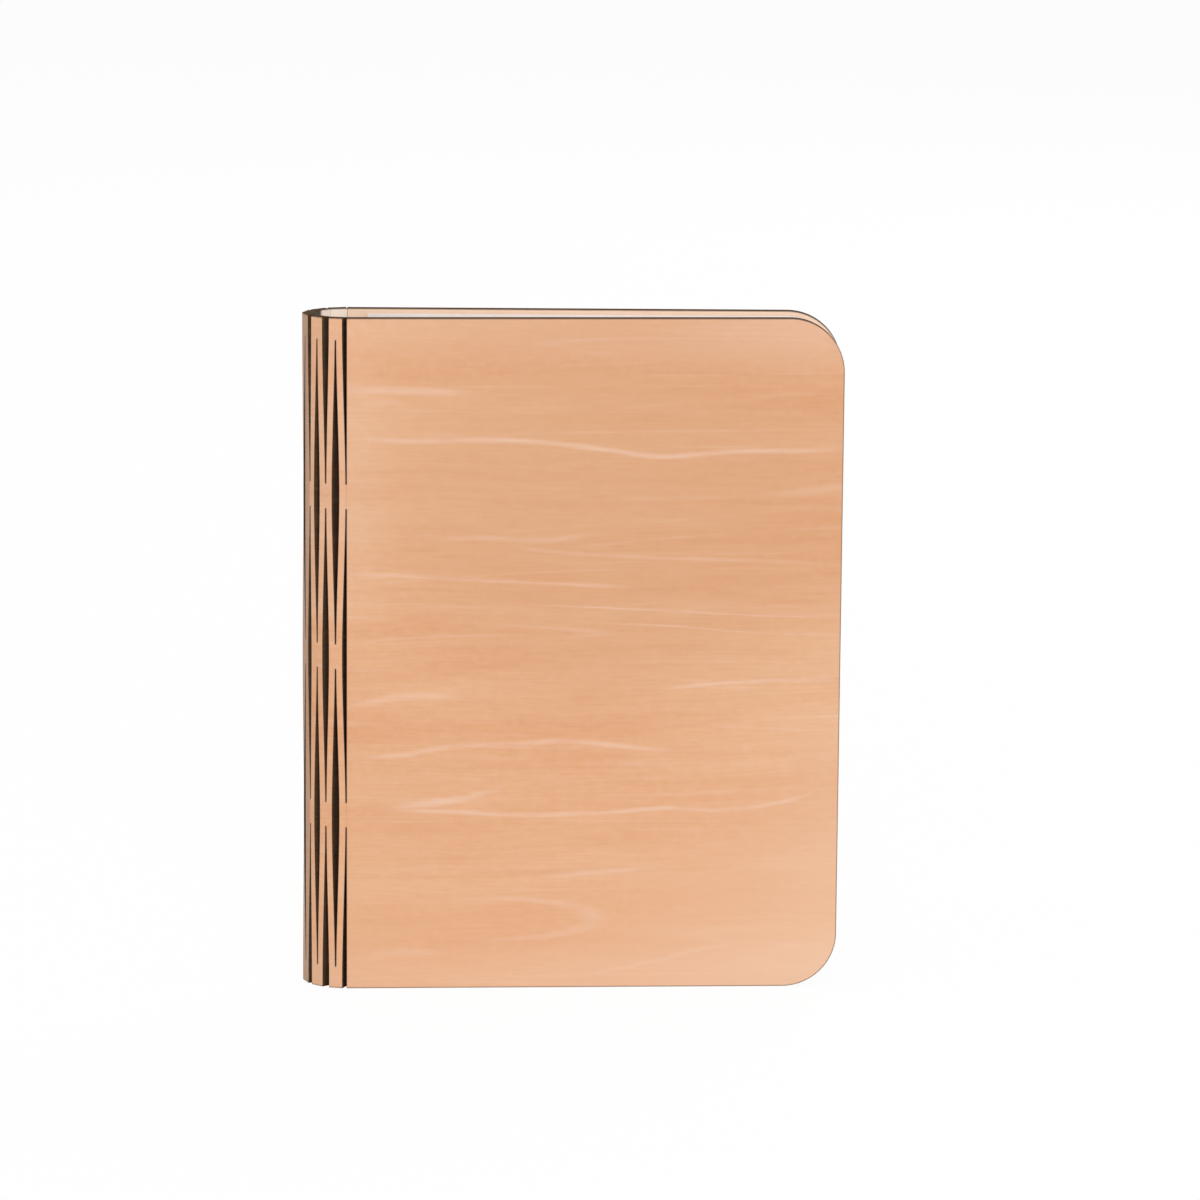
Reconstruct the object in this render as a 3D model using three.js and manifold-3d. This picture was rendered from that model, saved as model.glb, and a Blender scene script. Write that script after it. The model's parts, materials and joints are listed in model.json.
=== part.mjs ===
// Folding book lamp: two veneered covers on a lattice hinge, paper pages and a light bar in the spine.
// Millimetres, +Z up. The closed lamp stands on its bottom edge, spine at -X and front cover at -Y.
import * as THREE from "three";
import { mergeVertices } from "three/addons/utils/BufferGeometryUtils.js";
import Module from "manifold-3d";

const wasm = await Module();
wasm.setup();

const degree = Math.PI / 180;
const quarterTurn = 90 * degree;

// Driving dimensions
const lampHeight = 215;
const coverLength = 156; // from the hinge line to the fore edge
const boardThickness = 3;
const coverCornerRadius = 17.2;
const coverTaper = 1.2 * degree; // each cover leans in towards the fore edge by this angle
const fit = 0.3; // clearance between pieces that touch
const overrun = 1; // by which a cut passes the face it starts from
const roundSteps = 24;

// Lattice hinge
const closedBendShares = [9.7, 13, 13, 13.5, 14, 15, 13]; // of half the spine's turn, columns 0 to 6
const sharpestOpenBend = 30 * degree; // at one column, with the lamp right open
const slatRunningGap = 0.046; // left between two strips at that bend
const endSlotLength = 52.4;
const bridgeLength = 8;
const endSolidLength = 7;
const slotBow = 0.5; // by which a strip bows away at the middle of a slot
const slotSteps = 8;

// Pages
const paperThickness = 0.3;
const pageCount = 16;
const pageInset = 1.5; // from the covers' top, bottom and fore edge
const pageStart = 6.6; // from the hinge line

// Light bar
const cellRadius = 5;
const cellLength = 44;
const cellNubRadius = 2.2;
const cellNubHeight = 1;
const cellSideRoom = 0.4;
const barWall = 1.2;
const barSideRoom = 2.94; // between the bar and a cover board at the hinge line
const barInset = 5; // from the top and bottom of the lamp
const barCentreDepth = 9.67; // from the middle column to the centre of the bar's round back
const capThickness = 2.4;
const electronicsLength = 38;

// Light bar: screws and their bosses
const screwRadius = 0.9;
const screwLength = 8;
const screwHeadRadius = 1.7;
const screwHeadHeight = 1.2;
const bossWall = 0.7;
const bossLength = 12;
const bossBite = 0.2; // by which a boss runs into the wall of the bar

// Light bar: LED strips behind their diffuser
const stripThickness = 0.8;
const railDepth = 0.6;
const railReach = 0.9;
const chipWidth = 2.8;
const chipLength = 3.5;
const chipHeight = 0.7;
const chipPitch = 7;
const diffuserPlug = 0.65;
const diffuserFlange = 0.6;
const diffuserCrown = 0.7;

// Light bar: electronics
const boardWidth = 8;
const circuitThickness = 0.8;
const socketWidth = 9;
const socketHeight = 3.2;
const socketLength = 7.3;
const socketCorner = 1.2;
const socketShell = 0.35;
const socketMouthDepth = 5.6;
const tongueWidth = 6.4;
const tongueHeight = 0.7;
const pipeRadius = 0.9;
const pipeLength = 9;
const reedRadius = 1.1;
const reedLength = 14;

// Magnets in the covers
const magnetRadius = 4;
const magnetThickness = 1.8;
const magnetEdgeDistance = 20; // from the fore edge and from the top and bottom
const triggerRadius = 2.5;
const triggerDistance = 13; // from the hinge line
const magnetSegments = 32;

// Materials, one for each kind of surface
const finish = (color, roughness, metalness) => ({ color, roughness, metalness });
const veneer = finish(0xdfa980, 0.55, 0);
const burntWood = finish(0x6b4a33, 0.8, 0);
const paper = finish(0xf3efe9, 0.9, 0);
const anodisedAluminium = finish(0xb9bcc0, 0.35, 0.9);
const opalPlastic = finish(0xf2f2ee, 0.4, 0);
const whitePlastic = finish(0xe8e8e6, 0.5, 0);
const stripBoard = finish(0xf4f4f0, 0.5, 0);
const cellSleeve = finish(0x3f6fa8, 0.45, 0);
const circuitBoard = finish(0x1f5c3a, 0.5, 0);
const nickel = finish(0xc9c8c4, 0.25, 1);
const clearPlastic = finish(0xdfe6ea, 0.15, 0);

const lamp = new THREE.Group();

// Adds a named piece to the lamp, or to a group of it
function addPiece(name, geometry, surface, parent = lamp) {
  const mesh = new THREE.Mesh(geometry, new THREE.MeshStandardMaterial(surface));
  mesh.name = name;
  parent.add(mesh);
  return mesh;
}

// The solid of a closed geometry, for cutting and joining
function solidOf(geometry) {
  const bare = geometry.clone();
  bare.deleteAttribute("normal");
  bare.deleteAttribute("uv");
  const merged = mergeVertices(bare);
  const vertProperties = merged.attributes.position.array;
  const triVerts = new Uint32Array(merged.index.array);
  return new wasm.Manifold(new wasm.Mesh({ numProp: 3, vertProperties, triVerts }));
}

function geometryOf(solid) {
  const mesh = solid.getMesh();
  const geometry = new THREE.BufferGeometry();
  geometry.setAttribute("position", new THREE.BufferAttribute(mesh.vertProperties, mesh.numProp));
  geometry.setIndex(new THREE.BufferAttribute(mesh.triVerts, 1));
  geometry.computeVertexNormals();
  return geometry;
}

function cut(geometry, ...tools) {
  const body = tools.reduce((left, tool) => left.subtract(solidOf(tool)), solidOf(geometry));
  return geometryOf(body);
}

function join(geometry, ...others) {
  return geometryOf(others.reduce((all, other) => all.add(solidOf(other)), solidOf(geometry)));
}

const inOrder = (a, b) => [Math.min(a, b), Math.max(a, b)];

// An outline in X and Z, given thickness along Y and centred on it
function standingPlate(shape, thickness) {
  const geometry = new THREE.ExtrudeGeometry(shape, { depth: thickness, bevelEnabled: false });
  geometry.rotateX(quarterTurn);
  return geometry.translate(0, thickness / 2, 0);
}

// An outline in X and Y, raised from one height to another
function raised(shape, from, to) {
  const geometry = new THREE.ExtrudeGeometry(shape, {
    depth: to - from,
    bevelEnabled: false,
    curveSegments: roundSteps,
  });
  return geometry.translate(0, 0, from);
}

function polygon(points) {
  return new THREE.Shape(points.map(([x, y]) => new THREE.Vector2(x, y)));
}

function uprightRod(radius, x, y, from, to, segments = roundSteps) {
  const rod = new THREE.CylinderGeometry(radius, radius, to - from, segments);
  rod.rotateX(quarterTurn);
  return rod.translate(x, y, (from + to) / 2);
}

function block(x0, x1, y0, y1, z0, z1) {
  const box = new THREE.BoxGeometry(x1 - x0, y1 - y0, z1 - z0);
  return box.translate((x0 + x1) / 2, (y0 + y1) / 2, (z0 + z1) / 2);
}

// A disc that lies in an upright board, its axis along Y
function boardDisc(radius, x, y0, y1, z) {
  const disc = new THREE.CylinderGeometry(radius, radius, y1 - y0, magnetSegments);
  return disc.translate(x, (y0 + y1) / 2, z);
}

// Half a board of rounded free corners: straight at the hinge side, rounded at the fore edge
function roundedSheet(x0, x1, z0, z1, radius) {
  const shape = new THREE.Shape();
  shape.moveTo(x0, z0);
  shape.lineTo(x1 - radius, z0);
  shape.absarc(x1 - radius, z0 + radius, radius, -quarterTurn, 0, false);
  shape.absarc(x1 - radius, z1 - radius, radius, 0, quarterTurn, false);
  shape.lineTo(x0, z1);
  return shape;
}

// The bar is as wide as its widest content, and the spine goes round the bar
const barInnerHalf = Math.max(cellRadius, socketWidth / 2) + cellSideRoom;
const barHalfWidth = barInnerHalf + barWall;
const hingeHalfDepth = barHalfWidth + barSideRoom + boardThickness / 2;

// Front half of the hinge from its middle column to the cover, seen from above, for strips of length one
function hingeHeadings() {
  const whole = closedBendShares.reduce((sum, share) => sum + share, 0);
  const bends = closedBendShares.map((share) => ((quarterTurn + coverTaper) * share) / whole);
  const headings = [bends.at(-1) - quarterTurn];
  for (const bend of bends.slice(0, -1).reverse()) headings.push(headings.at(-1) + bend);
  return headings;
}

const headings = hingeHeadings();
const stripHeadings = headings.slice(0, -1);
const sumOf = (values) => values.reduce((sum, value) => sum + value, 0);
const slatPitch = -hingeHalfDepth / sumOf(stripHeadings.map(Math.sin));
const slatGap = boardThickness * Math.tan(sharpestOpenBend / 2) + slatRunningGap;
const middleColumn = new THREE.Vector2(-slatPitch * sumOf(stripHeadings.map(Math.cos)), 0);

// Start of each strip of the front half, from the middle column outwards, and the hinge line of the cover
const columns = [middleColumn];
for (const heading of stripHeadings) {
  const step = new THREE.Vector2(Math.cos(heading), Math.sin(heading)).multiplyScalar(slatPitch);
  columns.push(columns.at(-1).clone().add(step));
}
const hingeLine = columns.at(-1);

// Slots of even columns run out at both ends; those of odd columns stop at solid ends and a middle bridge
const middleSlotStart = endSlotLength + bridgeLength;
const evenSlots = [
  [-endSlotLength, endSlotLength],
  [middleSlotStart, lampHeight - middleSlotStart],
  [lampHeight - endSlotLength, lampHeight + endSlotLength],
];
const oddSlots = [
  [endSolidLength, (lampHeight - bridgeLength) / 2],
  [(lampHeight + bridgeLength) / 2, lampHeight - endSolidLength],
];

// Heights up one edge of a strip with its bow there, which is that of a beam held at both ends of the slot
function edgeBows(slots) {
  const bows = [];
  for (const [low, high] of slots) {
    for (let step = 0; step <= slotSteps; step++) {
      const along = step / slotSteps;
      const z = low + (high - low) * along;
      const held = 4 * along * (1 - along);
      if (z >= 0 && z <= lampHeight) bows.push([slotBow * held * held, z]);
    }
  }
  if (bows[0][1] > 0) bows.unshift([0, 0]);
  if (bows.at(-1)[1] < lampHeight) bows.push([0, lampHeight]);
  return bows;
}

function slatGeometry(outerSlots, innerSlots) {
  const outer = edgeBows(outerSlots).map(([bow, z]) => [slatPitch - slatGap / 2 - bow, z]);
  const inner = edgeBows(innerSlots).map(([bow, z]) => [slatGap / 2 + bow, z]);
  return standingPlate(polygon([...outer, ...inner.reverse()]), boardThickness);
}

// Places a piece of one side on the line that leaves a point at a heading; side is -1 in front and 1 behind
function placeOnSide(mesh, side, start, heading) {
  mesh.position.set(start.x, -side * start.y, 0);
  mesh.rotation.z = -side * heading;
}

function addHinge() {
  const slatsPerSide = stripHeadings.length;
  stripHeadings.forEach((heading, index) => {
    const number = slatsPerSide - index;
    const outerSlots = number % 2 ? evenSlots : oddSlots;
    const innerSlots = number % 2 ? oddSlots : evenSlots;
    const front = addPiece("hinge_slat_" + number, slatGeometry(outerSlots, innerSlots), burntWood);
    placeOnSide(front, -1, columns[index], heading);
    const backNumber = 2 * slatsPerSide + 1 - number;
    const back = addPiece("hinge_slat_" + backNumber, slatGeometry(outerSlots, innerSlots), burntWood);
    placeOnSide(back, 1, columns[index], heading);
  });
}

// Distance from the hinge line at which the hinge's last strip meets the cover's board
const edgeStripEnd = slatPitch - fit / 2;

// Depth of a magnet's pocket, with its clearance behind and in front
const pocketDepth = magnetThickness + fit;

// Places in a cover of its magnets: name, radius, distance from the hinge line, height
const magnetX = coverLength - magnetEdgeDistance;
const holdingMagnets = [
  ["magnet_bottom", magnetRadius, magnetX, magnetEdgeDistance],
  ["magnet_top", magnetRadius, magnetX, lampHeight - magnetEdgeDistance],
];

// One cover with its magnets, its endpaper and the strip of its board that ends the hinge,
// built flat along X from the hinge line
function addCover(sideName, side, magnets) {
  const cover = new THREE.Group();
  const innerFace = (-side * boardThickness) / 2;
  const pocketFloor = innerFace + side * pocketDepth;
  const [cutLow, cutHigh] = inOrder(pocketFloor, innerFace - side * overrun);
  const half = boardThickness / 2;
  const edge = block(slatGap / 2, edgeStripEnd, -half, half, 0, lampHeight);
  addPiece(sideName + "_hinge_edge", edge, burntWood, cover);

  const outline = roundedSheet(edgeStripEnd + fit, coverLength, 0, lampHeight, coverCornerRadius);
  const pockets = magnets.map(([, radius, x, z]) => boardDisc(radius + fit, x, cutLow, cutHigh, z));
  addPiece(sideName + "_cover", cut(standingPlate(outline, boardThickness), ...pockets), veneer, cover);

  for (const [name, radius, x, z] of magnets) {
    const far = pocketFloor - side * fit;
    const [low, high] = inOrder(far, far - side * magnetThickness);
    addPiece(sideName + "_" + name, boardDisc(radius, x, low, high, z), nickel, cover);
  }

  const endpaper = addPiece(sideName + "_endpaper", pageGeometry(), paper, cover);
  endpaper.position.set(pageStart, innerFace - side * (fit + paperThickness / 2), 0);
  placeOnSide(cover, side, hingeLine, headings.at(-1));
  lamp.add(cover);
}

// A page is a sheet folded on itself, a little smaller than the covers
const pageLength = coverLength - pageInset - pageStart;
function pageGeometry() {
  const radius = coverCornerRadius - pageInset;
  const outline = roundedSheet(0, pageLength, pageInset, lampHeight - pageInset, radius);
  return standingPlate(outline, paperThickness);
}

// Half the depth that the pages' middles fill at a distance from the hinge line
function pageSpread(x) {
  const coverInside = hingeHalfDepth - boardThickness / 2 / Math.cos(coverTaper) - x * Math.tan(coverTaper);
  return coverInside - fit - paperThickness - fit - paperThickness / 2;
}

function addPages() {
  for (let page = 0; page < pageCount; page++) {
    const place = (2 * page) / (pageCount - 1) - 1;
    const start = place * pageSpread(pageStart);
    const end = place * pageSpread(pageStart + pageLength);
    const mesh = addPiece("page_" + (page + 1), pageGeometry(), paper);
    mesh.position.set(pageStart, start, 0);
    mesh.rotation.z = Math.atan2(end - start, pageLength);
  }
}

// The round back of the bar clears the inner face of every strip of the hinge
const barCentre = middleColumn.x + barCentreDepth;
function stripClearRadius(index) {
  const along = new THREE.Vector2(Math.cos(stripHeadings[index]), Math.sin(stripHeadings[index]));
  const toCentre = new THREE.Vector2(barCentre, 0).sub(columns[index]);
  return Math.abs(along.cross(toCentre)) - boardThickness / 2 - fit;
}
const barRadius = Math.min(...stripHeadings.map((heading, index) => stripClearRadius(index)));
const barInnerRadius = barRadius - barWall;

// Places along X, from the cells at the back to the diffuser at the front
const cellX = barCentre - (barInnerRadius - cellRadius - fit);
const stripBack = cellX + cellRadius + fit;
const stripFront = stripBack + stripThickness;
const railFront = stripFront + fit + railDepth;
const diffuserBack = Math.max(railFront, stripFront + chipHeight) + fit;
const wallEnd = diffuserBack + diffuserPlug;
const flangeBack = wallEnd + fit;
const flangeFront = flangeBack + diffuserFlange;

// Places along Z
const capBottom = barInset;
const capTop = lampHeight - barInset;
const housingBottom = capBottom + capThickness + fit;
const housingTop = capTop - capThickness - fit;
const cellsBottom = housingBottom + bossLength + fit;
const cellsRoom = housingTop - bossLength - electronicsLength - cellsBottom;
const cellStep = cellLength + fit;
const cellCount = Math.floor(cellsRoom / cellStep);
const cellsTop = cellsBottom + cellCount * cellStep;

// D outline with a round back: straight sides from the back's arc to an end
function barOutline(radius, half, end) {
  const swing = Math.asin(half / radius);
  const shape = new THREE.Shape();
  shape.moveTo(end, -half);
  shape.lineTo(end, half);
  shape.absarc(barCentre, 0, radius, 2 * quarterTurn - swing, 2 * quarterTurn + swing, false);
  return shape;
}

// Screws stand beside the socket, in bosses that run into the side walls
const bossRadius = screwRadius + fit + bossWall;
const bossX = stripBack - fit - bossRadius;
const bossY = barInnerHalf + bossBite - bossRadius;
const bossSides = [-bossY, bossY];

function addHousing() {
  const shell = raised(barOutline(barRadius, barHalfWidth, wallEnd), housingBottom, housingTop);
  const hollow = raised(
    barOutline(barInnerRadius, barInnerHalf, wallEnd + overrun),
    housingBottom - overrun,
    housingTop + overrun,
  );
  const added = [];
  const railEdge = barInnerHalf - railReach;
  const railRoot = barInnerHalf + bossBite;
  for (const side of [-1, 1]) {
    const [low, high] = inOrder(side * railEdge, side * railRoot);
    added.push(block(stripBack - fit - railDepth, stripBack - fit, low, high, housingBottom, housingTop));
    added.push(block(stripFront + fit, railFront, low, high, housingBottom, housingTop));
  }
  const holes = [];
  const holeRadius = screwRadius + fit;
  for (const y of bossSides) {
    added.push(uprightRod(bossRadius, bossX, y, housingBottom, housingBottom + bossLength));
    added.push(uprightRod(bossRadius, bossX, y, housingTop - bossLength, housingTop));
    holes.push(uprightRod(holeRadius, bossX, y, housingBottom - overrun, housingBottom + screwLength));
    holes.push(uprightRod(holeRadius, bossX, y, housingTop - screwLength, housingTop + overrun));
  }
  addPiece("bar_housing", cut(join(cut(shell, hollow), ...added), ...holes), anodisedAluminium);
}

function addDiffuser() {
  const half = barInnerHalf - fit;
  const shape = new THREE.Shape();
  shape.moveTo(diffuserBack, -half);
  shape.lineTo(flangeBack, -half);
  shape.lineTo(flangeBack, -barHalfWidth);
  shape.lineTo(flangeFront, -barHalfWidth);
  shape.quadraticCurveTo(flangeFront + 2 * diffuserCrown, 0, flangeFront, barHalfWidth);
  shape.lineTo(flangeBack, barHalfWidth);
  shape.lineTo(flangeBack, half);
  shape.lineTo(diffuserBack, half);
  addPiece("bar_diffuser", raised(shape, housingBottom, housingTop), opalPlastic);
}

function addStrip(name, from, to) {
  const half = barInnerHalf - fit;
  const board = block(stripBack, stripFront, -half, half, from, to);
  const count = Math.floor((to - from - chipLength) / chipPitch);
  const first = (from + to - (count - 1) * chipPitch) / 2;
  const chips = [];
  for (let chip = 0; chip < count; chip++) {
    const z = first + chip * chipPitch;
    const root = stripFront - stripThickness / 2;
    const tip = stripFront + chipHeight;
    chips.push(block(root, tip, -chipWidth / 2, chipWidth / 2, z - chipLength / 2, z + chipLength / 2));
  }
  addPiece(name, join(board, ...chips), stripBoard);
}

function addCells() {
  for (let cell = 0; cell < cellCount; cell++) {
    const bottom = cellsBottom + cell * cellStep;
    const shoulder = bottom + cellLength - cellNubHeight;
    const profile = [
      [0, bottom],
      [cellRadius, bottom],
      [cellRadius, shoulder],
      [cellNubRadius, shoulder],
      [cellNubRadius, bottom + cellLength],
      [0, bottom + cellLength],
    ].map(([radius, z]) => new THREE.Vector2(radius, z));
    const geometry = new THREE.LatheGeometry(profile, roundSteps);
    geometry.rotateX(quarterTurn);
    addPiece("cell_" + (cell + 1), geometry.translate(cellX, 0, 0), cellSleeve);
  }
}

// The circuit board stands at the back of the bar, and the charging socket sits on its top end
const boardCorner = Math.sqrt((barInnerRadius - fit) ** 2 - (boardWidth / 2) ** 2);
const boardBack = barCentre - boardCorner;
const boardFront = boardBack + circuitThickness;
const socketX = boardFront + fit + socketHeight / 2;
const socketTop = capTop - fit;

function roundedSlot(x, height, width, corner) {
  const shape = new THREE.Shape();
  const [x0, x1, y0, y1] = [x - height / 2, x + height / 2, -width / 2, width / 2];
  shape.absarc(x1 - corner, y0 + corner, corner, -quarterTurn, 0, false);
  shape.absarc(x1 - corner, y1 - corner, corner, 0, quarterTurn, false);
  shape.absarc(x0 + corner, y1 - corner, corner, quarterTurn, 2 * quarterTurn, false);
  shape.absarc(x0 + corner, y0 + corner, corner, 2 * quarterTurn, 3 * quarterTurn, false);
  return shape;
}

function addElectronics() {
  const boardTop = housingTop - fit;
  const half = boardWidth / 2;
  addPiece(
    "control_board",
    block(boardBack, boardFront, -half, half, cellsTop + fit, boardTop),
    circuitBoard,
  );

  const socketOutline = roundedSlot(socketX, socketHeight, socketWidth, socketCorner);
  const shell = raised(socketOutline, socketTop - socketLength, socketTop);
  const mouthHeight = socketHeight - 2 * socketShell;
  const mouthWidth = socketWidth - 2 * socketShell;
  const mouth = raised(
    roundedSlot(socketX, mouthHeight, mouthWidth, socketCorner - socketShell),
    socketTop - socketMouthDepth,
    socketTop + overrun,
  );
  const tongueX = tongueHeight / 2;
  const tongueY = tongueWidth / 2;
  const tongueRoot = socketTop - socketLength + socketShell;
  const tongueTip = socketTop - fit;
  const tongue = block(socketX - tongueX, socketX + tongueX, -tongueY, tongueY, tongueRoot, tongueTip);
  addPiece("charging_socket", join(cut(shell, mouth), tongue), nickel);

  const pipe = uprightRod(pipeRadius, bossX, 0, capTop - pipeLength, capTop);
  addPiece("indicator_pipe", pipe, clearPlastic);

  const reedY = -(barInnerHalf - fit - reedRadius);
  const reedBottom = cellsTop + fit;
  const reed = uprightRod(reedRadius, bossX, reedY, reedBottom, reedBottom + reedLength);
  addPiece("reed_switch", reed, clearPlastic);
}

// One end cap, with the screw holes and their counterbores, and its two screws
function addCap(name, from, to, outward, openings) {
  const outer = outward > 0 ? to : from;
  const inner = outward > 0 ? from : to;
  const seat = outer - outward * (screwHeadHeight + fit);
  const tools = [...openings];
  for (const y of bossSides) {
    tools.push(uprightRod(screwRadius + fit, bossX, y, ...inOrder(inner - outward * overrun, outer)));
    tools.push(uprightRod(screwHeadRadius + fit, bossX, y, ...inOrder(seat, outer + outward * overrun)));
  }
  const outline = barOutline(barRadius, barHalfWidth, flangeFront);
  addPiece(name, cut(raised(outline, from, to), ...tools), whitePlastic);

  bossSides.forEach((y, index) => {
    const under = seat + outward * fit;
    const top = under + outward * screwHeadHeight;
    const tip = housingEnd(outward) - outward * (screwLength - fit);
    const bite = (outward * screwHeadHeight) / 2;
    const shank = uprightRod(screwRadius, bossX, y, ...inOrder(tip, under + bite));
    const head = uprightRod(screwHeadRadius, bossX, y, ...inOrder(under, top));
    addPiece(name + "_screw_" + (index + 1), join(head, shank), nickel);
  });
}

function housingEnd(outward) {
  return outward > 0 ? housingTop : housingBottom;
}

function addCaps() {
  const from = capTop - capThickness - overrun;
  const to = capTop + overrun;
  const openingHeight = socketHeight + 2 * fit;
  const openingWidth = socketWidth + 2 * fit;
  const socketOpening = roundedSlot(socketX, openingHeight, openingWidth, socketCorner + fit);
  const openings = [raised(socketOpening, from, to), uprightRod(pipeRadius + fit, bossX, 0, from, to)];
  addCap("bar_top_cap", capTop - capThickness, capTop, 1, openings);
  addCap("bar_bottom_cap", capBottom, capBottom + capThickness, -1, []);
}

const stripsMiddle = (housingBottom + housingTop) / 2;
const triggerHeight = cellsTop + fit + reedLength / 2;
const triggerMagnet = ["trigger_magnet", triggerRadius, triggerDistance, triggerHeight];

addHinge();
addCover("front", -1, [...holdingMagnets, triggerMagnet]);
addCover("back", 1, holdingMagnets);
addPages();
addHousing();
addDiffuser();
addStrip("led_strip_lower", housingBottom, stripsMiddle - fit / 2);
addStrip("led_strip_upper", stripsMiddle + fit / 2, housingTop);
addCells();
addElectronics();
addCaps();

// The origin is at the middle of the lamp's box, on the surface that it stands on
const bounds = new THREE.Box3().setFromObject(lamp);
lamp.position.x = -(bounds.min.x + bounds.max.x) / 2;

export default lamp;
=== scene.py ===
"""Looks of a folding book lamp with a lattice hinge, fanning paper and a light bar in its spine."""
import json
import math

import bmesh
import bpy
import numpy as np
from bpy.props import FloatProperty, FloatVectorProperty, IntProperty, PointerProperty
from mathutils import Matrix, Vector


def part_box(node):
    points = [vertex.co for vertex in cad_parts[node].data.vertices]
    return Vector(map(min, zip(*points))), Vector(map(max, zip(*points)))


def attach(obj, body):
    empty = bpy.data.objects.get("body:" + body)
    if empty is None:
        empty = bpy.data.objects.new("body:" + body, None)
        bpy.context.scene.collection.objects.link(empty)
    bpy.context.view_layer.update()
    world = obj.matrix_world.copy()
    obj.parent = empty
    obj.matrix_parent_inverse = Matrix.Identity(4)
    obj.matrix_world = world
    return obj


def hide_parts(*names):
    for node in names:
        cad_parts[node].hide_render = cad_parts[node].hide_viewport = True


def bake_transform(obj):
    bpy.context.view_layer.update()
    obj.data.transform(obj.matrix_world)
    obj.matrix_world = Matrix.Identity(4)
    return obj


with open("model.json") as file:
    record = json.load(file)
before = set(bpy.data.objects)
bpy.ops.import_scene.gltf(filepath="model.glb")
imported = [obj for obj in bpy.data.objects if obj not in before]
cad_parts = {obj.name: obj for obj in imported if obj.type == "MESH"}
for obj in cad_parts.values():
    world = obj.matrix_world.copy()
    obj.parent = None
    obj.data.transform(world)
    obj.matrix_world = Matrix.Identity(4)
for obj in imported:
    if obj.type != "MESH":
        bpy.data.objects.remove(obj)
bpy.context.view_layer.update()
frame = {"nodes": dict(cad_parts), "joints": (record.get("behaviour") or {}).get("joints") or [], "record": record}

bl_info = {
    "name": "Folding book lamp",
    "version": (1, 0, 0),
    "blender": (4, 5, 0),
    "location": "View3D > Sidebar > Book lamp",
    "description": "Models a closed book lamp and the scene that it is shown in",
    "category": "Object",
}

TINY = 1e-6
SIDES = {"front": -1, "back": 1}
STRIPS = 6  # In each half of the hinge, between columns 0 to 6 of slots, the last shared by both halves
EVEN = math.inf  # Size of a pattern's spots along an axis on which it stays the same
USUAL = {  # Settings that each node of a kind has in every material
    "MapRange": {"interpolation_type": "SMOOTHSTEP"},
    "Mix": {"data_type": "RGBA"},
    "VectorMath": {"operation": "MULTIPLY"},
}
WHITE = (1, 1, 1, 1)
CROWN_COLUMNS = (3, 5)  # Columns between which the bow of the slots falls to that of the spine's crown


def colour(code):
    """Linear colour of an sRGB hex code"""
    parts = [int(code[i : i + 2], 16) / 255 for i in (0, 2, 4)]
    return tuple(c / 12.92 if c <= 0.04045 else ((c + 0.055) / 1.055) ** 2.4 for c in parts) + (1.0,)


def number(name, description, default):
    return IntProperty(name=name, description=description, default=default)


def plain(name, description, default):
    return FloatProperty(name=name, description=description, default=default)


def length(name, description, default):
    return FloatProperty(name=name, description=description, default=default, unit="LENGTH")


def angle(name, description, degrees):
    default = math.radians(degrees)
    return FloatProperty(name=name, description=description, default=default, subtype="ANGLE")


def tone(name, description, code):
    default = colour(code)
    return FloatVectorProperty(name=name, description=description, default=default, size=4, subtype="COLOR")


class BoardSize(bpy.types.PropertyGroup):
    """Sizes of the two cover boards"""

    height: length("Height", "Height of the lamp", 0.215)
    length: length("Length", "From the hinge line to the fore edge", 0.156)
    thickness: length("Thickness", "Thickness of the veneered board", 0.003)
    corner: length("Corner radius", "Radius of the two free corners", 0.0172)
    corner_steps: number("Corner steps", "Faces round each free corner", 24)
    scorch: length("Scorch", "Width of the scorched rim of the cut edges", 0.00045)
    pocket_gap: length("Pocket gap", "Room round each magnet in its pocket", 0.0003)
    pocket_steps: number("Pocket steps", "Faces round each magnet pocket", 32)


class HingeSize(bpy.types.PropertyGroup):
    """Sizes of the lattice hinge"""

    pitch: length("Pitch", "Distance between slot columns", 0.00299904)
    kerf: length("Kerf", "Width of the laser's cut", 0.00031)
    scorch: length("Scorch", "Width of the scorched rim of the slots", 0.00025)
    bow: length("Bow", "How far a strip's outer edge bows in the middle of a slot", 0.00066)
    back_bow: length("Back bow", "How far the edges bow at the back cover's side", 0.0001)
    crown_bow_share: plain("Crown bow share", "Share of the bow that the middle columns have", 0.15)
    inner_bow: length("Inner bow", "How far its inner edge bows", 0.0002)
    closing: length("Closing", "How far each inner edge of a slot has been pushed in", 0.00012)
    end_slot: length("End slot", "Length of the slots that run out at the ends", 0.0524)
    bridge: length("Bridge", "Length of the bridge between two slots", 0.008)
    end_bridge: length("End bridge", "Length of the bridges at the ends", 0.007)
    step: length("Step", "Longest step of the mesh along a slot", 0.005)
    margin: length("Margin", "Width of board that stays on the hinge's side", 0.003)
    blend: length("Blend", "Half the width over which a column bends", 0.0011)


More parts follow.
